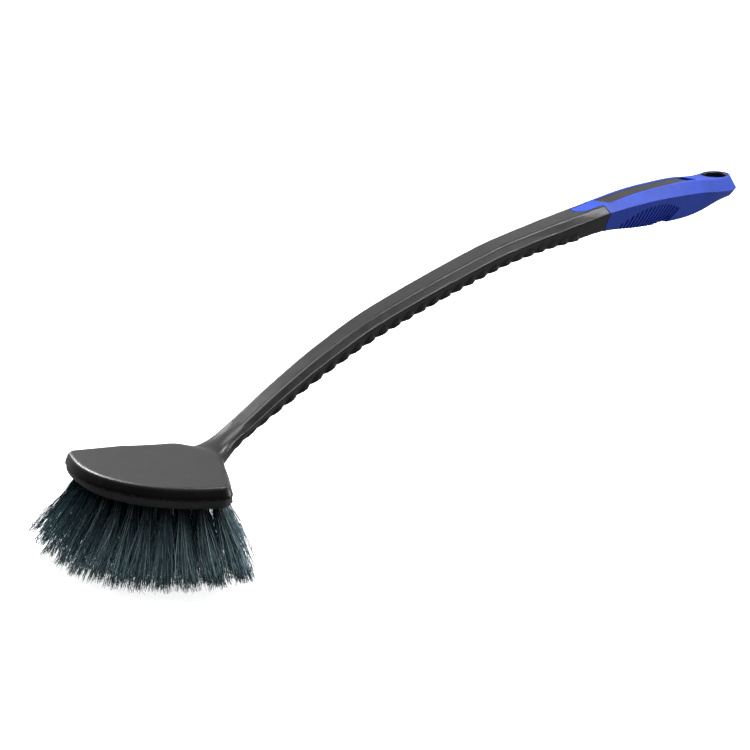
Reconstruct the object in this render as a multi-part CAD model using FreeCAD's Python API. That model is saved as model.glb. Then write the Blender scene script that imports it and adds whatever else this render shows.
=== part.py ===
import FreeCAD, Part
import math
import os

# Long-handled wheel brush, in millimetres.
# Frame: +X runs from the head to the grip end, +Z is up, the bristles point down.
# The origin is the middle of the hang hole, on the hole's axis.
# Inside this file, d is the distance behind the head's front edge and h the height
# above the head's top face; place() turns (d, y, h) into the frame.

V = FreeCAD.Vector

# ---- driving dimensions ----
hole_reach = 486.0        # head's front edge to the hang hole's axis
hole_rise = 10.7          # head's top face up to the middle of the hang hole

front_radius = 61.8       # plan radius of the head's curved front edge
half_width = 43.4         # half the head's width where the front meets the sides
corner_radius = 3.0       # plan rounding of the two front corners
shoulder_d = 51.3         # rear corners of the head, behind the front edge
shoulder_half = 12.0      # half the width between the rear corners
shoulder_radius = 4.0

cover_wall = 2.2          # top plate of the cover
cover_skirt_wall = 1.2    # its skirt, inside the head's outline
skirt_height = 4.8        # top face down to the cover's lower rim
seam_gap = 0.3            # shadow line between the cover and the block
block_bottom = 9.2        # top face down to the block's underside
block_spigot_clear = 0.15
block_plate_grow = 1.4    # how far the plate stands outside the head's outline
block_edge_foot = 7.5     # top face down to where the plate's edge slants in
block_edge_slant = 1.6    # how far it slants in

# The cover's rounded rim and skirt: growth of the head's outline, and height
cover_levels = [(-1.0, 0.0), (0.1, -0.5), (0.7, -1.5), (1.4, -3.1), (1.9, -skirt_height)]

tuft_hole_r = 2.1
tuft_hole_depth = 5.0
tuft_pitch = 7.2
tuft_row_step = 7.0
tuft_edge_margin = 4.4    # first row's distance inside the head's edge
tuft_rows = 7
bristle_free = 36.0       # bristle length below the block, on the middle line
corner_trim = 3.0         # how much shorter the bristles are at the front corners
tuft_tip_r = 5.1
splay_side = 1.50         # how far the tips spread, as a factor on y
splay_length = 1.60       # the same along the head
splay_centre_d = 33.0     # the point that the tufts lean away from

staple_length = 5.4
staple_height = 2.0
staple_thick = 0.4
staple_turn = 35.0        # each staple is turned the other way from its neighbours

scallop_pitch = 10.0
scallop_count = 28
scallop_bulge = 1.5
scallop_height = 6.0
scallop_first = 68.2      # d where the first scallop starts
scallop_edge_share = 0.9  # a scallop stops this far up to the widest edge, where that is low
first_bulge = 0.4         # the first scallop's bulge, as a share of the full one
bulge_gain = 0.15         # how much of it each further scallop gains
pocket_r = 3.4
pocket_depth = 5.0
pocket_wall = 0.9         # least wall beside a pocket

grip_start = 368.0        # where the overmould meets the bare handle
skin = 2.0                # overmould thickness over the core
core_first = 343.0        # the core is skinned from this section
core_last = 484.0         # to this one
core_end = 482.0          # and ends inside the eyelet
hole_r = 6.5
eyelet_r = 7.3
end_deck_r = 8.2          # grip end, plan radius at its top face
end_edge_r = 11.6         # the same at its widest edge
end_foot_r = 8.3          # the same at its underside
end_deck_h = 16.3
end_edge_h = 9.3
end_foot_h = 5.2
end_deck_slant = 0.8      # rounded-off rim of the deck: this high
end_deck_rim = 1.2        # and this wide

window_start = 374.0
window_end = 460.5
window_half = 4.8
window_corner = 1.5
window_floor = 18.1       # a height inside the core all along the window
inlay_end = 452.0         # the inlay stops short of the window: a nail recess is left
inlay_sink = 0.35         # the inlay's face lies this far under the grip's face
inlay_groove_count = 7
inlay_groove_pitch = 1.25
inlay_groove_width = 0.45
inlay_groove_depth = 0.35
inlay_groove_margin = 2.5 # left plain at both ends of the inlay
tongue_tip = 350.0
tongue_half = 4.2
tongue_floor = 27.5       # height of the tongue's bed in the handle

rib_count = 17
rib_pitch = 3.6
rib_first = 381.0
rib_width = 1.5
rib_depth = 0.9
rib_arc_radius = 17.0
rib_centre_h = 23.0       # height of the arcs' centres
rib_leaf = [(378.0, 14.0), (396.0, 19.0), (420.0, 17.5), (443.0, 7.0)]   # (d, h) of the field's rim

# Cross sections that shape the handle: d, top h, edge h, bottom h, and the half widths
# of the top face, of the widest edge and of the underside. Smooth curves join them.
key_sections = [
    (42.0, -1.2, -3.4, -8.6, 14.0, 19.0, 17.6),    # root of the neck, inside the cover
    (51.0, -2.4, -4.9, -9.6, 8.2, 11.8, 10.6),
    (60.0, -2.2, -4.9, -10.6, 5.4, 8.2, 6.8),      # neck
    (75.0, 1.0, -1.8, -6.2, 4.2, 6.2, 4.3),
    (110.0, 10.8, 7.3, 1.9, 4.2, 5.9, 3.7),        # foot of the arch
    (140.0, 17.8, 14.0, 7.9, 4.5, 6.2, 3.9),
    (180.0, 24.5, 20.5, 13.8, 4.8, 6.6, 4.2),
    (270.0, 30.8, 26.5, 20.1, 5.6, 7.4, 4.8),      # crown of the arch
    (310.0, 30.7, 26.4, 19.6, 5.9, 7.8, 5.1),
    (343.0, 29.8, 25.9, 17.1, 6.3, 8.6, 5.3),
    (368.0, 28.8, 25.4, 15.6, 6.6, 9.6, 5.6),      # start of the grip
    (405.0, 27.2, 22.8, 8.9, 7.0, 11.6, 6.3),
    (445.0, 22.9, 17.1, 4.0, 7.4, 11.7, 6.5),      # deepest part of the grip
    (459.0, 20.6, 14.6, 3.7, 7.6, 11.6, 6.8),
    (472.0, 17.9, 11.8, 4.8, 8.0, 11.6, 7.4),
    (484.0, 16.4, 9.6, 5.6, 8.2, 11.6, 8.2),       # hang hole
    (500.0, 15.9, 8.9, 5.0, 8.2, 11.6, 8.2),
]
section_step = 18.0       # longest gap between the sections that the skin runs through
top_chamfer = 0.5         # narrow bevel along both edges of the top face
inset_in_plan = 0.8       # share of an inset that a slanted wall's ends move inwards

# Sizes of the cutting bodies that reach past the brush
well_below = 20.0
tall = 60.0
far_end = 520.0


def place(d, y, h):
    return V(d - hole_reach, y, h - hole_rise)


def save(name, shape):
    shape.exportStep(os.path.join("parts", name + ".step"))


def tidy(shape):
    """One clean solid or a compound of them, with seams between coplanar faces removed."""
    return shape.removeSplitter()


# ---- handle and grip sections ----
def slope_at(index, column):
    """How fast one column of the key sections changes along the handle at one of them."""
    before = key_sections[max(index - 1, 0)]
    after = key_sections[min(index + 1, len(key_sections) - 1)]
    return (after[column] - before[column]) / (after[0] - before[0])


def blend(index, t):
    """The cross section at a share t of the way from one key section to the next."""
    low = key_sections[index]
    high = key_sections[index + 1]
    gap = high[0] - low[0]
    rise = t * t * (3.0 - 2.0 * t)
    leave = t * (1.0 - t) ** 2
    arrive = t * t * (t - 1.0)
    values = [low[0] + gap * t]
    for column in range(1, len(low)):
        value = low[column] + (high[column] - low[column]) * rise
        value += gap * (slope_at(index, column) * leave + slope_at(index + 1, column) * arrive)
        values.append(value)
    return tuple(values)


def at(d):
    """The cross section at d."""
    for index, (low, high) in enumerate(zip(key_sections, key_sections[1:])):
        if low[0] <= d <= high[0]:
            return blend(index, (d - low[0]) / (high[0] - low[0]))
    raise ValueError(d)


def all_sections():
    """The key sections, with blended ones between them where they stand far apart."""
    found = []
    for index, (low, high) in enumerate(zip(key_sections, key_sections[1:])):
        parts = math.ceil((high[0] - low[0]) / section_step)
        found += [blend(index, i / parts) for i in range(parts)]
    return found + [key_sections[-1]]


def section_wire(station, inset=0.0):
    d, top, edge, bottom, top_half, edge_half, bottom_half = station
    top -= inset
    bottom += inset
    top_half -= inset_in_plan * inset
    edge_half -= inset
    bottom_half -= inset_in_plan * inset
    right = [
        (top_half - top_chamfer, top),
        (top_half, top - top_chamfer),
        (edge_half, edge),
        (bottom_half, bottom),
    ]
    left = [(-y, h) for y, h in reversed(right)]
    points = [place(d, y, h) for y, h in right + left]
    return Part.makePolygon(points + points[:1])


def skinned(first_d, last_d, inset=0.0):
    wires = [section_wire(s, inset) for s in all_sections() if first_d <= s[0] <= last_d]
    return Part.makeLoft(wires, True, False)


def slab(d0, d1):
    """Everything between two planes across the handle."""
    return Part.makeBox(d1 - d0, 2 * tall, 2 * tall, place(d0, -tall, -tall))


def grip_end_former():
    """The plan of the grip's rounded end, with its slanted upper and lower walls."""
    top = end_deck_h + end_deck_slant
    outline = [
        (0.0, -well_below),
        (end_foot_r, -well_below),
        (end_foot_r, end_foot_h),
        (end_edge_r, end_edge_h),
        (end_deck_r, end_deck_h),
        (end_deck_r - end_deck_rim, top),
        (0.0, top),
    ]
    profile = [place(hole_reach + radius, 0, h) for radius, h in outline]
    face = Part.Face(Part.makePolygon(profile + profile[:1]))
    end = face.revolve(V(0, 0, 0), V(0, 0, 1), 360)
    return end.fuse(slab(0, hole_reach))


# ---- head ----
def corner_d():
    """Where the front corners stand, behind the middle of the curved front edge."""
    return front_radius - math.sqrt(front_radius ** 2 - half_width ** 2)


def head_outline(grow, h):
    """The head's plan outline, grown outwards by grow, as a wire at height h."""
    depth = corner_d()
    corner = V(depth, half_width, 0)
    shoulder = V(shoulder_d, shoulder_half, 0)
    other_corner = V(depth, -half_width, 0)
    other_shoulder = V(shoulder_d, -shoulder_half, 0)
    arc = Part.Arc(other_corner, V(0, 0, 0), corner).toShape()
    side = Part.makeLine(corner, shoulder)
    rear = Part.makeLine(shoulder, other_shoulder)
    other = Part.makeLine(other_shoulder, other_corner)
    flat = Part.Face(Part.Wire([arc, side, rear, other]))
    prism = flat.extrude(V(0, 0, 1))
    rounded = round_uprights(prism)
    base = [f for f in rounded.Faces if abs(f.CenterOfMass.z) < 1e-6][0]
    wire = base.OuterWire
    if abs(grow) > 1e-6:
        wire = wire.makeOffset2D(grow)
    wire = wire.copy()
    wire.translate(place(0, 0, h))
    return wire


def round_uprights(prism):
    uprights = [e for e in prism.Edges if abs(e.tangentAt(e.FirstParameter).z) > 0.99]
    front = [e for e in uprights if abs(e.CenterOfMass.y) > 0.9 * half_width]
    rear = [e for e in uprights if abs(e.CenterOfMass.y) < 1.1 * shoulder_half]
    return prism.makeFillet(corner_radius, front).makeFillet(shoulder_radius, rear)


def head_layer(levels, smooth):
    """A solid skinned through (growth, height) levels of the head's outline."""
    wires = [head_outline(grow, h) for grow, h in levels]
    return Part.makeLoft(wires, True, not smooth)


def cover_solid():
    return head_layer(cover_levels, smooth=True)


def upright_layer(grow, low, high):
    """A flat slice of the head with upright walls."""
    return head_layer([(grow, low), (grow, high)], smooth=False)


def cover_cavity():
    return upright_layer(-cover_skirt_wall, -skirt_height - 1.0, -cover_wall)


def block_room():
    """The space under the cover's rim, kept free for the block's plate."""
    return upright_layer(block_plate_grow + seam_gap, -well_below, -skirt_height)


def block_solid():
    seam = -skirt_height - seam_gap
    grow = block_plate_grow
    spigot = upright_layer(-cover_skirt_wall - block_spigot_clear, seam - 1.0, -cover_wall)
    plate = upright_layer(grow, -block_edge_foot, seam)
    slant = [(grow, -block_edge_foot), (grow - block_edge_slant, -block_bottom)]
    foot = head_layer(slant, smooth=False)
    return spigot.fuse([plate, foot])


# ---- tufts ----
def side_limit(d):
    """Half the room for tufts across the head, d behind its front edge."""
    depth = corner_d()
    slope = (half_width - shoulder_half) / (shoulder_d - depth)
    lean = math.hypot(1.0, slope)
    return half_width - slope * (d - depth) - tuft_edge_margin * lean


def tuft_row(index):
    """Positions (d, y) of one row, on an arc concentric with the front edge."""
    radius = front_radius - tuft_edge_margin - index * tuft_row_step
    angle = 0.0
    step = math.radians(0.25)
    while radius * math.sin(angle) < side_limit(front_radius - radius * math.cos(angle)):
        angle += step
    angle -= step
    gaps = max(1, round(2 * angle * radius / tuft_pitch))
    angles = [angle * (2.0 * i / gaps - 1.0) for i in range(gaps + 1)]
    return [(front_radius - radius * math.cos(a), radius * math.sin(a)) for a in angles]


def tuft(d, y):
    """One bundle: a straight root in its hole, then a cone that leans outwards and widens."""
    tip_d = splay_centre_d + (d - splay_centre_d) * splay_length
    tip_y = y * splay_side
    run = math.hypot(tip_d - d, tip_y - y)
    free = bristle_free - corner_trim * (y / half_width) ** 2
    drop = math.sqrt(free ** 2 - run ** 2)
    circles = [
        ring(place(d, y, tuft_hole_depth - block_bottom), tuft_hole_r),
        ring(place(d, y, -block_bottom), tuft_hole_r),
        ring(place(tip_d, tip_y, -block_bottom - drop), tuft_tip_r),
    ]
    return Part.makeLoft(circles, True, True)


def ring(centre, radius):
    return Part.Wire(Part.makeCircle(radius, centre, V(0, 0, 1)))


def staple(d, y, index):
    """The metal anchor that holds one folded bundle at the bottom of its hole."""
    low = -block_bottom + tuft_hole_depth - staple_height
    box = Part.makeBox(staple_thick, staple_length, staple_height,
                       place(d - staple_thick / 2, y - staple_length / 2, low))
    turn = staple_turn if index % 2 else -staple_turn
    box.rotate(place(d, y, 0), V(0, 0, 1), turn)
    return box


# ---- handle details ----
def bottom_line(d):
    """Height, slope and half width of the underside at d."""
    low = at(d - 0.5)
    high = at(d + 0.5)
    middle = at(d)
    slope = math.atan2(high[3] - low[3], high[0] - low[0])
    return middle[3], slope, middle[6]


def scallop_places():
    """Centres of the scallops, evenly spaced along the underside's own line."""
    places = []
    d = scallop_first
    for _ in range(scallop_count):
        _, slope, _ = bottom_line(d)
        advance = scallop_pitch * math.cos(slope)
        places.append(d + advance / 2)
        d += advance
    return places


def scallop(d, number):
    """A low prism across the underside, bulging out at both flanks."""
    h, slope, half = bottom_line(d)
    bulge = scallop_bulge * min(1.0, first_bulge + bulge_gain * number)
    reach = scallop_pitch / 2
    corners = [V(-reach, -half, 0), V(reach, -half, 0), V(reach, half, 0), V(-reach, half, 0)]
    near = Part.Arc(corners[0], V(0, -half - bulge, 0), corners[1]).toShape()
    far = Part.Arc(corners[2], V(0, half + bulge, 0), corners[3]).toShape()
    front = Part.makeLine(corners[3], corners[0])
    back = Part.makeLine(corners[1], corners[2])
    height = min(scallop_height, scallop_edge_share * (at(d)[2] - h))
    solid = Part.Face(Part.Wire([near, back, far, front])).extrude(V(0, 0, height))
    return seat(solid, d, h, slope)


def pocket(d):
    """A round blind pocket in the underside, which keeps the handle's walls even."""
    h, slope, half = bottom_line(d)
    radius = min(pocket_r, half - pocket_wall)
    solid = Part.makeCylinder(radius, pocket_depth + 1, V(0, 0, -1))
    return seat(solid, d, h, slope)


def seat(solid, d, h, slope):
    """Moves a solid made at the origin onto the underside at d, along its slope."""
    solid.rotate(V(0, 0, 0), V(0, 1, 0), -math.degrees(slope))
    solid.translate(place(d, 0, h))
    return solid


def hole_cylinder(radius):
    return Part.makeCylinder(radius, tall, place(hole_reach, 0, -well_below))


def window_prism(d0, d1, half):
    """A slot seen from above, with rounded corners."""
    r = window_corner
    floor = window_floor
    box = Part.makeBox(d1 - d0 - 2 * r, 2 * half, tall, place(d0 + r, -half, floor))
    wide = Part.makeBox(d1 - d0, 2 * (half - r), tall, place(d0, -half + r, floor))
    corners = []
    for d in (d0 + r, d1 - r):
        for y in (-half + r, half - r):
            corners.append(Part.makeCylinder(r, tall, place(d, y, floor)))
    return box.fuse([wide] + corners)


def inlay_grooves():
    """Fine lengthwise grooves in the inlay's face."""
    length = inlay_end - window_start - 2 * inlay_groove_margin
    grooves = []
    for i in range(inlay_groove_count):
        y = (i - (inlay_groove_count - 1) / 2) * inlay_groove_pitch - inlay_groove_width / 2
        corner = place(window_start + inlay_groove_margin, y, window_floor)
        grooves.append(Part.makeBox(length, inlay_groove_width, tall, corner))
    return grooves


def tongue_prism():
    """The bed of the grip's tongue, with a round tip."""
    round_d = tongue_tip + tongue_half
    length = grip_start + 1 - round_d
    box = Part.makeBox(length, 2 * tongue_half, tall, place(round_d, -tongue_half, tongue_floor))
    tip = Part.makeCylinder(tongue_half, tall, place(round_d, 0, tongue_floor))
    return box.fuse(tip)


def across(d, h, radius):
    """A cylinder across the grip, wider than it on both sides."""
    return Part.makeCylinder(radius, tall, place(d, -tall / 2, h), V(0, 1, 0))


def rib_field():
    """The leaf-shaped field of the ribs: a curve above, open below the grip."""
    start, end = rib_leaf[0], rib_leaf[-1]
    rim = Part.BSplineCurve()
    rim.interpolate([place(d, -tall / 2, h) for d, h in rib_leaf])
    below = [(end[0], end[1]), (end[0], -well_below), (start[0], -well_below), (start[0], start[1])]
    close = Part.makePolygon([place(d, -tall / 2, h) for d, h in below])
    return Part.Face(Part.Wire([rim.toShape()] + close.Edges)).extrude(V(0, tall, 0))


def rib_grooves():
    """Curved finger grooves on both lower flanks, clipped to the leaf-shaped field."""
    field = rib_field()
    grooves = []
    for i in range(rib_count):
        centre_d = rib_first + i * rib_pitch - rib_arc_radius
        outer = across(centre_d, rib_centre_h, rib_arc_radius + rib_width / 2)
        inner = across(centre_d, rib_centre_h, rib_arc_radius - rib_width / 2)
        behind = slab(centre_d + rib_width, centre_d + 2 * rib_arc_radius)
        grooves.append(outer.cut(inner).common(behind).common(field))
    return grooves


# ---- the pieces ----
def build():
    os.makedirs("parts", exist_ok=True)
    former = grip_end_former()
    outer = skinned(0, far_end).common(former)
    bore = hole_cylinder(hole_r)

    # Handle: cover, neck, bare handle and the core inside the grip, one moulding.
    bare = outer.common(slab(0, grip_start))
    bumps = [scallop(d, i) for i, d in enumerate(scallop_places())]
    bare = bare.fuse(bumps)
    core = skinned(core_first, core_last, skin).common(slab(grip_start - 1, core_end))
    eyelet = hole_cylinder(eyelet_r).common(outer)
    bare = bare.cut(tongue_prism())
    handle = bare.fuse([core, eyelet, cover_solid()])
    handle = handle.cut([cover_cavity(), block_room()])
    handle = handle.cut([pocket(d) for d in scallop_places()])
    handle = tidy(handle.cut(bore))
    save("handle_body", handle)

    # Grip: soft overmould around the core, with its tongue and its window.
    cover = outer.common(slab(grip_start, far_end))
    grooved = cover.cut(rib_grooves())
    under = skinned(grip_start, far_end, rib_depth).common(former)
    grip = grooved.fuse(under)
    tongue = tongue_prism().common(outer).common(slab(0, grip_start))
    grip = grip.fuse(tongue)
    grip = grip.cut([core, hole_cylinder(eyelet_r), window_prism(window_start, window_end, window_half)])
    grip = tidy(grip)
    save("grip_overmould", grip)

    # Inlay: the ribbed strip in the grip's window.
    face = skinned(core_first, core_last, inlay_sink).cut(inlay_grooves())
    face = face.fuse(skinned(core_first, core_last, inlay_sink + inlay_groove_depth))
    strip = face.common(window_prism(window_start, inlay_end, window_half)).cut(core)
    strip = tidy(strip)
    save("grip_inlay", strip)

    # Block with its blind holes, and in each hole a tuft on its staple.
    rows = [tuft_row(i) for i in range(tuft_rows)]
    flat = [(d, y, i) for i, row in enumerate(rows) for d, y in row]
    holes = [Part.makeCylinder(tuft_hole_r, tuft_hole_depth + 1, place(d, y, -block_bottom - 1))
             for d, y, _ in flat]
    staples = [[staple(d, y, i) for i, (d, y) in enumerate(row)] for row in rows]
    every_staple = [s for row in staples for s in row]
    block = block_solid().cut(holes).cut(every_staple)
    save("brush_block", tidy(block))
    for number, (row, anchors) in enumerate(zip(rows, staples), start=1):
        tufts = [tuft(d, y).cut(anchor) for (d, y), anchor in zip(row, anchors)]
        save("tuft_row_%d" % number, Part.makeCompound(tufts))
        save("staple_row_%d" % number, Part.makeCompound(anchors))
        print("row", number, len(row), "tufts")
    for name, shape in (("handle", handle), ("grip", grip), ("inlay", strip), ("block", block)):
        box = shape.BoundBox
        print(name, shape.isValid(), len(shape.Solids), round(shape.Volume / 1000, 2), "cm3",
              [round(v, 1) for v in (box.XMin, box.XMax, box.YMin, box.YMax, box.ZMin, box.ZMax)])


build()
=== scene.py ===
"""Looks of a long-handled wheel brush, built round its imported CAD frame. Metres, CAD frame."""
import math
import random
import bmesh
import bpy
import numpy as np
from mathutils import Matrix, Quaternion, Vector


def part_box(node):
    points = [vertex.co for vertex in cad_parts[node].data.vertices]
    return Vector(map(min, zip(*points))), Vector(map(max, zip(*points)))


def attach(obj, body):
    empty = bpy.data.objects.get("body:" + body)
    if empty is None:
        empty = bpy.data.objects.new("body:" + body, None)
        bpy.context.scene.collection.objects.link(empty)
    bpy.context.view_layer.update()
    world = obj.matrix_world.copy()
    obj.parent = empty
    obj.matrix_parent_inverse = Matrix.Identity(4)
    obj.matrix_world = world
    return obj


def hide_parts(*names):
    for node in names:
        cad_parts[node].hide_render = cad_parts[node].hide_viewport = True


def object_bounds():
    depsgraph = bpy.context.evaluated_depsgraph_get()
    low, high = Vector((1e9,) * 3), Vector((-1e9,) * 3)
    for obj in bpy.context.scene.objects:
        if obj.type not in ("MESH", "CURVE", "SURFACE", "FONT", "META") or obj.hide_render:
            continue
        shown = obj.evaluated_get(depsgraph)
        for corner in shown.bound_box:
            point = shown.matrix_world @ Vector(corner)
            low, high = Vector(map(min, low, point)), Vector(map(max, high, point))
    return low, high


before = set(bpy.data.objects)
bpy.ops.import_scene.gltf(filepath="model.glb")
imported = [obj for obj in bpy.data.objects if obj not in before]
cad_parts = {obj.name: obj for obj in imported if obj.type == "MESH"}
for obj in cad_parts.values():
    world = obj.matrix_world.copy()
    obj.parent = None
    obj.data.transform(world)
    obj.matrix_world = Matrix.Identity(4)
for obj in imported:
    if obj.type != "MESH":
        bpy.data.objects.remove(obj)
cad_low, cad_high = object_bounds()

MM = 0.001
SEED = 20

# Camera: a long lens that looks along the handle from the head's front corner. Degrees and metres.
VIEW_AZIMUTH = -53.63
VIEW_ELEVATION = 18.44
VIEW_ROLL = -1.94
LENS = 153.6
SENSOR = 36.0
DISTANCE = 1.455
AIM_FROM_HOLE = Vector((-0.3063, 0.0, -0.0168))
CLIP = (0.05, 50.0)

# Handle shell
SHELL_VOXEL = 0.5 * MM
MERGE = 0.001 * MM         # points closer than this are one point
RELAX = 0.5                # share of the way a point moves in one round of smoothing
EVEN_ROUNDS = 1
NECK_ROUNDS = 150
NECK_AHEAD = 4.0 * MM      # middle of the blended neck, behind the block's rear edge
NECK_REACH = 22.0 * MM     # half the blend's length
NECK_FLOOR_Z = -15.2 * MM  # below this the neck and the skirt keep their shape
NECK_FADE = 1.5 * MM       # height over which the blend sets in above that

# Bristles
STRANDS_PER_TUFT = 120
STRAYS_PER_TUFT = 9        # filaments that bend away from their tuft
STRAND_RADIUS = 0.145 * MM
STRAND_SIDES = 3
STRAND_RINGS = 7
STRAND_TAPER = 0.4
THICKNESS_RANGE = (0.8, 1.15)
ROOT_FILL = 0.86           # share of the hole's radius that filaments fill
ROOT_DEPTH = 2.0 * MM      # length of a filament inside its hole
TIP_RANGE = (0.75, 1.12)   # how far out in the tuft's tip a filament ends, against its root
TIP_TURN = 0.25            # radians that it strays round the tuft on the way
LENGTH_SPREAD = 0.05
LEAN_POWER = 1.15          # above 1, a filament leaves its hole nearly straight
CURL = 1.8 * MM
BEND = (1.0, 3.2)          # factors on CURL half way down, for a plain filament and a stray
DRIFT = (0.7, 2.2)         # the same at the tip
BOX_MARGIN = 0.2 * MM      # filaments keep this far inside the CAD box

# Fine lines left by the mould along the handle
STREAK_SCALE = (9.0, 620.0, 260.0)
STREAK_HEIGHT = 0.06 * MM
STREAK_STRENGTH = 0.5
GRAIN_STRENGTH = 0.35

# Studio surroundings: (place from -1 to 1, grey level) by height, and by depth away from the camera
WORLD_STRENGTH = 0.8
WORLD_BY_HEIGHT = [(-1.0, 0.55), (-0.75, 0.45), (-0.45, 0.015), (0.6, 0.015), (0.95, 0.8)]
WORLD_BY_DEPTH = [(0.45, 0.0), (0.93, 0.66)]

# Softboxes: azimuth and elevation in degrees, width and height in metres, watts
LAMP_DISTANCE = 1.6
LAMPS = {
    "top_softbox": (60.0, 78.0, 1.2, 0.9, 20.0),
    "rim_softbox": (170.0, 35.0, 0.8, 0.35, 22.0),
    "flank_softbox": (42.0, 6.0, 1.1, 0.25, 9.0),
    "edge_softbox": (68.0, 34.0, 0.5, 0.3, 7.0),
}

# Floor
FLOOR_HALF = 12.0
FLOOR_DROP = 0.4 * MM      # clear of the bristle tips
FLOOR_GREY = 0.9
FLOOR_GLOW = 0.85

# Colours, linear
BLACK_PLASTIC = (0.015, 0.015, 0.0165, 1)
BLOCK_PLASTIC = (0.115, 0.115, 0.122, 1)
BLUE_RUBBER = (0.019, 0.066, 0.53, 1)
INLAY_GREY = (0.045, 0.043, 0.042, 1)
STEEL = (0.55, 0.55, 0.56, 1)

# Bristle colours, by share of the filaments: most are dark teal of random tone, and a few pale and white
# ones are painted highlights
BRISTLE_DARK = (0.035, 0.066, 0.082, 1)
BRISTLE_MIDDLE = (0.150, 0.270, 0.330, 1)
BRISTLE_PALE_HIGHLIGHT = (0.560, 0.780, 0.840, 1)
BRISTLE_WHITE_HIGHLIGHT = (0.800, 1.000, 1.000, 1)
MIDDLE_SHARE = 0.55
PALE_HIGHLIGHT_SHARE = 0.90
# Painted shade darkens the filaments towards the root, and painted light pales them towards the tips
ROOT_PAINTED_SHADE = 0.55
TIP_PAINTED_LIGHT = 1.25


# ---------------------------------------------------------------- helpers
def new_material(name):
    """An empty material, with its nodes, its links and its main shader."""
    material = bpy.data.materials.new(name)
    material.use_nodes = True
    nodes = material.node_tree.nodes
    links = material.node_tree.links
    return material, nodes, links, nodes["Principled BSDF"]


def noise(nodes, links, scale, detail=2.0, roughness=0.5):
    """A noise texture in the frame's own metres."""
    where = nodes.new("ShaderNodeTexCoord")
    texture = nodes.new("ShaderNodeTexNoise")
    texture.inputs["Scale"].default_value = scale
    texture.inputs["Detail"].default_value = detail
    texture.inputs["Roughness"].default_value = roughness
    links.new(where.outputs["Object"], texture.inputs["Vector"])
    return texture.outputs["Fac"]


def remap(nodes, links, value, low, high, start=0.3, stop=0.7):
    """Stretches a value between start and stop, where noise mostly lies, to between low and high."""
    step = nodes.new("ShaderNodeMapRange")
    step.inputs["From Min"].default_value = start
    step.inputs["From Max"].default_value = stop
    step.inputs["To Min"].default_value = low
    step.inputs["To Max"].default_value = high
    links.new(value, step.inputs["Value"])
    return step.outputs["Result"]


def tint(nodes, links, value, colour_a, colour_b):
    """A colour between two, by value."""
    mix = nodes.new("ShaderNodeMix")
    mix.data_type = "RGBA"
    mix.inputs[6].default_value = colour_a
    mix.inputs[7].default_value = colour_b
    links.new(value, mix.inputs[0])
    return mix.outputs[2]


def shade(colour, factor):
    """A darker or lighter version of a colour."""
    return tuple(c * factor for c in colour[:3]) + (1,)


def streaks(nodes, links, stretch):
    """Fine lines that run along the handle, from a noise stretched along X."""
    where = nodes.new("ShaderNodeTexCoord")
    squeeze = nodes.new("ShaderNodeMapping")
    squeeze.inputs["Scale"].default_value = stretch
    links.new(where.outputs["Object"], squeeze.inputs["Vector"])
    texture = nodes.new("ShaderNodeTexNoise")
    texture.inputs["Scale"].default_value = 1.0    # the mapping has set the scale already
    texture.inputs["Detail"].default_value = 3.0
    links.new(squeeze.outputs["Vector"], texture.inputs["Vector"])
    return texture.outputs["Fac"]


def bump(nodes, links, height, strength, distance):
    """A bump node that raises the surface by height."""
    node = nodes.new("ShaderNodeBump")
    node.inputs["Strength"].default_value = strength
    node.inputs["Distance"].default_value = distance
    links.new(height, node.inputs["Height"])
    return node


def moulded(name, colour, rough, grain_scale, grain_height, specular=0.5, brushed=False):
    """Moulded plastic or rubber: cloudy colour, uneven gloss and a fine surface grain."""
    material, nodes, links, shader = new_material(name)
    cloud = remap(nodes, links, noise(nodes, links, 60.0, 3.0), 0.0, 1.0)
    colours = tint(nodes, links, cloud, shade(colour, 0.88), shade(colour, 1.14))
    links.new(colours, shader.inputs["Base Color"])
    gloss = remap(nodes, links, noise(nodes, links, 180.0, 4.0, 0.6), rough - 0.04, rough + 0.05)
    links.new(gloss, shader.inputs["Roughness"])
    shader.inputs["Specular IOR Level"].default_value = specular
    grain = bump(nodes, links, noise(nodes, links, grain_scale, 3.0, 0.65), GRAIN_STRENGTH, grain_height)
    if brushed:
        lines = bump(nodes, links, streaks(nodes, links, STREAK_SCALE), STREAK_STRENGTH, STREAK_HEIGHT)
        links.new(lines.outputs["Normal"], grain.inputs["Normal"])
    links.new(grain.outputs["Normal"], shader.inputs["Normal"])
    return material


def steel():
    """Bright wire with uneven gloss."""
    material, nodes, links, shader = new_material("staple_steel")
    shader.inputs["Metallic"].default_value = 1.0
    gloss = remap(nodes, links, noise(nodes, links, 900.0), 0.25, 0.45)
    links.new(gloss, shader.inputs["Roughness"])
    cloud = remap(nodes, links, noise(nodes, links, 300.0), 0.0, 1.0)
    links.new(tint(nodes, links, cloud, shade(STEEL, 0.85), STEEL), shader.inputs["Base Color"])
    return material


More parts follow.
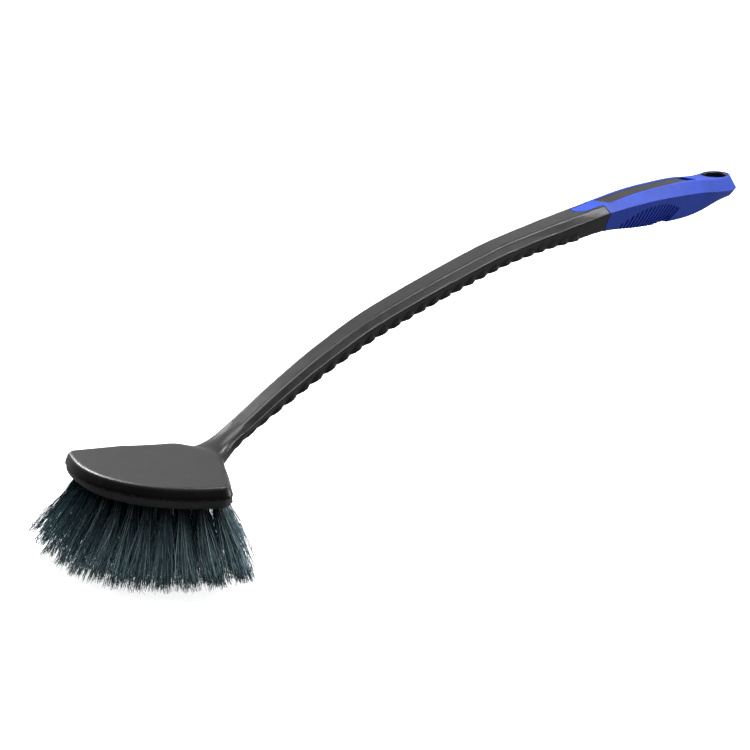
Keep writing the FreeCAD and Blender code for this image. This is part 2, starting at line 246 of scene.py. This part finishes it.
def bristle_material(tip_z, root_z):
    """Filaments whose tone differs at random from one to the next, with a few pale and white ones as
    painted highlights, painted shade towards the root and painted light towards the tips.
    """
    material, nodes, links, shader = new_material("bristle_filament")
    geometry = nodes.new("ShaderNodeNewGeometry")
    ramp = nodes.new("ShaderNodeValToRGB")
    stops = ramp.color_ramp.elements
    stops[0].color = BRISTLE_DARK
    # The pale and white stops paint highlights onto a few filaments at random
    stops[1].color = BRISTLE_WHITE_HIGHLIGHT
    for share, colour in ((MIDDLE_SHARE, BRISTLE_MIDDLE), (PALE_HIGHLIGHT_SHARE, BRISTLE_PALE_HIGHLIGHT)):
        stop = stops.new(share)
        stop.color = colour
    links.new(geometry.outputs["Random Per Island"], ramp.inputs["Fac"])
    split = nodes.new("ShaderNodeSeparateXYZ")
    links.new(geometry.outputs["Position"], split.inputs["Vector"])
    # Painted shade towards the roots and painted light towards the tips, by height
    along = remap(nodes, links, split.outputs["Z"], ROOT_PAINTED_SHADE, TIP_PAINTED_LIGHT, root_z, tip_z)
    painted_shade_colour = nodes.new("ShaderNodeVectorMath")
    painted_shade_colour.operation = "SCALE"
    links.new(ramp.outputs["Color"], painted_shade_colour.inputs["Vector"])
    links.new(along, painted_shade_colour.inputs["Scale"])
    links.new(painted_shade_colour.outputs["Vector"], shader.inputs["Base Color"])
    gloss = remap(nodes, links, noise(nodes, links, 400.0), 0.38, 0.55)
    links.new(gloss, shader.inputs["Roughness"])
    return material


def paint(node, material):
    """Gives a CAD node its material."""
    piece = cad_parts[node]
    piece.data.materials.clear()
    piece.data.materials.append(material)


def stand_for(piece, node):
    """Puts a new piece on the brush's one body, in place of a CAD node."""
    for face in piece.data.polygons:
        face.use_smooth = True
    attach(piece, "root")
    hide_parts(node)


# ---------------------------------------------------------------- handle
def remeshed(node, name, voxel):
    """A copy of a CAD node as one closed skin of even faces, with its sharp edges slightly rounded."""
    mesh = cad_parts[node].data.copy()
    shape = bmesh.new()
    shape.from_mesh(mesh)
    bmesh.ops.remove_doubles(shape, verts=shape.verts, dist=MERGE)
    shape.to_mesh(mesh)
    shape.free()
    piece = bpy.data.objects.new(name, mesh)
    bpy.context.scene.collection.objects.link(piece)
    skin = piece.modifiers.new("skin", "REMESH")
    skin.mode = "VOXEL"
    skin.voxel_size = voxel
    evaluated = piece.evaluated_get(bpy.context.evaluated_depsgraph_get())
    smooth = bpy.data.meshes.new_from_object(evaluated)
    piece.modifiers.clear()
    piece.data = smooth
    smooth.name = name
    return piece


def relax(mesh, weight_of, rounds):
    """Moves each point towards the middle of its neighbours, by its own weight, a number of times."""
    count = len(mesh.vertices)
    co = np.empty(count * 3)
    mesh.vertices.foreach_get("co", co)
    co = co.reshape(-1, 3)
    edges = np.empty(len(mesh.edges) * 2, dtype=np.int64)
    mesh.edges.foreach_get("vertices", edges)
    first, second = edges[0::2], edges[1::2]
    degree = np.bincount(first, minlength=count) + np.bincount(second, minlength=count)
    weight = weight_of(co)[:, None]
    for _ in range(rounds):
        total = np.empty_like(co)
        for k in range(3):
            total[:, k] = (np.bincount(first, co[second, k], count)
                           + np.bincount(second, co[first, k], count))
        co = co + weight * (total / degree[:, None] - co)
    mesh.vertices.foreach_set("co", co.ravel())
    mesh.update()


def everywhere(co):
    """The same weight at every point."""
    return np.full(len(co), RELAX)


def near_neck(co):
    """Weights that are full round the neck, and fade along the handle and down the skirt."""
    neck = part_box("brush_block")[1].x + NECK_AHEAD
    along = np.clip(1 - np.abs(co[:, 0] - neck) / NECK_REACH, 0, 1)
    top = np.clip((co[:, 2] - (NECK_FLOOR_Z - NECK_FADE)) / NECK_FADE, 0, 1)
    return RELAX * np.minimum(1.0, 2.0 * along) * top


def handle_shell(material):
    """Cover, neck and handle: one moulding whose neck flows into the cover's top."""
    piece = remeshed("handle_body", "handle_shell", SHELL_VOXEL)
    relax(piece.data, everywhere, EVEN_ROUNDS)
    relax(piece.data, near_neck, NECK_ROUNDS)
    piece.data.materials.clear()
    piece.data.materials.append(material)
    stand_for(piece, "handle_body")


# ---------------------------------------------------------------- bristles
def islands(mesh):
    """The separate solids of a CAD node, each as a list of points."""
    shape = bmesh.new()
    shape.from_mesh(mesh)
    bmesh.ops.remove_doubles(shape, verts=shape.verts, dist=MERGE)
    left = set(shape.verts)
    found = []
    while left:
        seed = left.pop()
        group = [seed]
        stack = [seed]
        while stack:
            for edge in stack.pop().link_edges:
                for vertex in edge.verts:
                    if vertex in left:
                        left.discard(vertex)
                        group.append(vertex)
                        stack.append(vertex)
        found.append([v.co.copy() for v in group])
    shape.free()
    return sorted(found, key=lambda points: sum(p.y for p in points) / len(points))


def ring_of(points, height):
    """Centre and radius of the ring of points at a height."""
    ring = [p for p in points if abs(p.z - height) < 20 * MERGE]
    centre = sum(ring, Vector()) / len(ring)
    return centre, max((p - centre).length for p in ring)


def filament(shape, points, radius, taper):
    """A thin tapered prism along points, closed at both ends."""
    rings = []
    count = len(points)
    for i, point in enumerate(points):
        before = points[max(0, i - 1)]
        after = points[min(count - 1, i + 1)]
        along = (after - before).normalized()
        side = along.cross(Vector((1, 0.3, 0))).normalized()
        other = along.cross(side)
        size = radius * (1 - taper * i / (count - 1))
        angles = [2 * math.pi * k / STRAND_SIDES for k in range(STRAND_SIDES)]
        corners = [point + size * (math.cos(a) * side + math.sin(a) * other) for a in angles]
        rings.append([shape.verts.new(corner) for corner in corners])
    for low, high in zip(rings, rings[1:]):
        for k in range(STRAND_SIDES):
            n = (k + 1) % STRAND_SIDES
            shape.faces.new((low[k], low[n], high[n], high[k]))
    shape.faces.new(rings[0][::-1])
    shape.faces.new(rings[-1])


def keep_in(point):
    """A point held inside the CAD box."""
    held = [min(max(point[k], cad_low[k] + BOX_MARGIN), cad_high[k] - BOX_MARGIN) for k in range(3)]
    return Vector(held)


def sideways(draw, size):
    """A random level vector of about a size."""
    return Vector((draw.gauss(0, 1), draw.gauss(0, 1), 0)) * size


def at_angle(angle):
    return Vector((math.cos(angle), math.sin(angle), 0))


def strand_path(draw, mouth, tip, hole_radius, tip_radius, stray):
    """Points of one filament, from inside its hole to its tip."""
    angle = draw.uniform(0, 2 * math.pi)
    share = math.sqrt(draw.random())
    start = mouth + at_angle(angle) * share * hole_radius * ROOT_FILL
    spread = share * tip_radius * draw.uniform(*TIP_RANGE)
    turn = draw.gauss(0, TIP_TURN)
    end = tip + at_angle(angle + turn) * spread
    length = 1 - LENGTH_SPREAD * draw.random() ** 1.5
    bend = sideways(draw, CURL * BEND[stray])
    drift = sideways(draw, CURL * DRIFT[stray])
    points = [start + Vector((0, 0, ROOT_DEPTH))]
    for i in range(STRAND_RINGS - 1):
        t = length * i / (STRAND_RINGS - 2)
        flat = start.lerp(end, t ** LEAN_POWER)
        height = mouth.z + (tip.z - mouth.z) * t
        sway = bend * math.sin(math.pi * t) * t + drift * t * t
        points.append(keep_in(Vector((flat.x + sway.x, flat.y + sway.y, height))))
    return points


def tuft_piece(number, material):
    """All the filaments of one row of tufts, as one piece that stands for the CAD row."""
    node = "tuft_row_%d" % number
    draw = random.Random(SEED + number)
    mouth_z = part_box("brush_block")[0].z
    shape = bmesh.new()
    for points in islands(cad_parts[node].data):
        tip_z = min(p.z for p in points)
        mouth, hole_radius = ring_of(points, mouth_z)
        tip, tip_radius = ring_of(points, tip_z)
        for i in range(STRANDS_PER_TUFT + STRAYS_PER_TUFT):
            stray = i >= STRANDS_PER_TUFT
            path = strand_path(draw, mouth, tip, hole_radius, tip_radius, stray)
            thick = STRAND_RADIUS * draw.uniform(*THICKNESS_RANGE)
            filament(shape, path, thick, STRAND_TAPER)
    mesh = bpy.data.meshes.new("bristles_row_%d" % number)
    shape.to_mesh(mesh)
    shape.free()
    mesh.materials.append(material)
    piece = bpy.data.objects.new(mesh.name, mesh)
    bpy.context.scene.collection.objects.link(piece)
    stand_for(piece, node)


# ---------------------------------------------------------------- camera, floor and light
def back_vector(azimuth, elevation):
    """The direction from the brush to a viewer or a lamp. Azimuth 0 is towards -Y."""
    a = math.radians(azimuth)
    e = math.radians(elevation)
    return Vector((math.sin(a) * math.cos(e), -math.cos(a) * math.cos(e), math.sin(e)))


def make_camera():
    """The photograph's view: its direction, its long lens and its framing."""
    data = bpy.data.cameras.new("camera")
    data.lens = LENS
    data.sensor_width = SENSOR
    data.clip_start, data.clip_end = CLIP
    camera = bpy.data.objects.new("camera", data)
    bpy.context.scene.collection.objects.link(camera)
    back = back_vector(VIEW_AZIMUTH, VIEW_ELEVATION)
    camera.location = AIM_FROM_HOLE + back * DISTANCE
    camera.rotation_mode = "QUATERNION"
    look = (-back).to_track_quat("-Z", "Y")
    camera.rotation_quaternion = look @ Quaternion((0, 0, 1), math.radians(VIEW_ROLL))
    bpy.context.scene.camera = camera


def make_floor():
    """A pale sheet that glows a little, so that it stays nearly free of shadow."""
    mesh = bpy.data.meshes.new("floor")
    corners = [(x * FLOOR_HALF, y * FLOOR_HALF, 0) for x, y in ((-1, -1), (1, -1), (1, 1), (-1, 1))]
    mesh.from_pydata(corners, [], [(0, 1, 2, 3)])
    floor = bpy.data.objects.new("floor", mesh)
    floor.location = (0, 0, cad_low.z - FLOOR_DROP)
    bpy.context.scene.collection.objects.link(floor)
    material, nodes, links, shader = new_material("floor_paper")
    shader.inputs["Base Color"].default_value = (FLOOR_GREY, FLOOR_GREY, FLOOR_GREY, 1)
    shader.inputs["Roughness"].default_value = 0.95
    shader.inputs["Specular IOR Level"].default_value = 0.0
    shader.inputs["Emission Color"].default_value = (1, 1, 1, 1)
    shader.inputs["Emission Strength"].default_value = FLOOR_GLOW
    mesh.materials.append(material)
    floor.visible_glossy = False
    floor.visible_diffuse = False


def softbox(name, azimuth, elevation, width, height, watts):
    """A rectangular lamp that faces the middle of the brush."""
    data = bpy.data.lights.new(name, "AREA")
    data.shape = "RECTANGLE"
    data.size = width
    data.size_y = height
    data.energy = watts
    lamp = bpy.data.objects.new(name, data)
    bpy.context.scene.collection.objects.link(lamp)
    back = back_vector(azimuth, elevation)
    lamp.location = (cad_low + cad_high) / 2 + back * LAMP_DISTANCE
    lamp.rotation_mode = "QUATERNION"
    lamp.rotation_quaternion = (-back).to_track_quat("-Z", "Y")
    lamp.visible_camera = False


def gradient(nodes, links, value, stops):
    """A grey level that runs through (place, level) stops as value goes from -1 to 1."""
    spread = remap(nodes, links, value, 0.0, 1.0, -1.0, 1.0)
    ramp = nodes.new("ShaderNodeValToRGB")
    ramp.color_ramp.interpolation = "EASE"
    places = ramp.color_ramp.elements
    while len(places) < len(stops):
        places.new(0.5)
    for element, (place, level) in zip(places, stops):
        element.position = (place + 1) / 2
        element.color = (level, level, level, 1)
    links.new(spread, ramp.inputs["Fac"])
    return ramp.outputs["Color"]


def make_world():
    """A studio: a pale sheet below, an open dark room in front, white paper behind and overhead."""
    world = bpy.data.worlds.new("studio")
    world.use_nodes = True
    nodes = world.node_tree.nodes
    links = world.node_tree.links
    background = nodes["Background"]
    where = nodes.new("ShaderNodeTexCoord")
    parts = nodes.new("ShaderNodeSeparateXYZ")
    links.new(where.outputs["Generated"], parts.inputs["Vector"])
    height = gradient(nodes, links, parts.outputs["Z"], WORLD_BY_HEIGHT)
    behind = nodes.new("ShaderNodeVectorMath")
    behind.operation = "DOT_PRODUCT"
    behind.inputs[1].default_value = -back_vector(VIEW_AZIMUTH, 0.0)
    links.new(where.outputs["Generated"], behind.inputs[0])
    paper = gradient(nodes, links, behind.outputs["Value"], WORLD_BY_DEPTH)
    mix = nodes.new("ShaderNodeMix")
    mix.data_type = "RGBA"
    mix.blend_type = "LIGHTEN"
    mix.inputs[0].default_value = 1.0
    links.new(height, mix.inputs[6])
    links.new(paper, mix.inputs[7])
    links.new(mix.outputs[2], background.inputs["Color"])
    background.inputs["Strength"].default_value = WORLD_STRENGTH
    bpy.context.scene.world = world


# ---------------------------------------------------------------- put together
make_camera()
make_floor()
make_world()
for lamp_name, lamp_values in LAMPS.items():
    softbox(lamp_name, *lamp_values)
bpy.context.scene.view_settings.view_transform = "Standard"

black = moulded("handle_plastic", BLACK_PLASTIC, 0.34, 1400.0, 0.05 * MM, brushed=True)
matt_black = moulded("block_plastic", BLOCK_PLASTIC, 0.55, 1800.0, 0.05 * MM)
rubber = moulded("grip_rubber", BLUE_RUBBER, 0.52, 2200.0, 0.05 * MM, 0.4)
inlay = moulded("inlay_plastic", INLAY_GREY, 0.45, 1600.0, 0.04 * MM)
paint("handle_body", black)
handle_shell(black)
paint("brush_block", matt_black)
paint("grip_overmould", rubber)
paint("grip_inlay", inlay)
anchors = steel()
filaments = bristle_material(cad_low.z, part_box("brush_block")[0].z)
rows = sorted(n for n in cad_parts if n.startswith("tuft_row_"))
for number in range(1, len(rows) + 1):
    paint("staple_row_%d" % number, anchors)
    paint("tuft_row_%d" % number, filaments)
    tuft_piece(number, filaments)
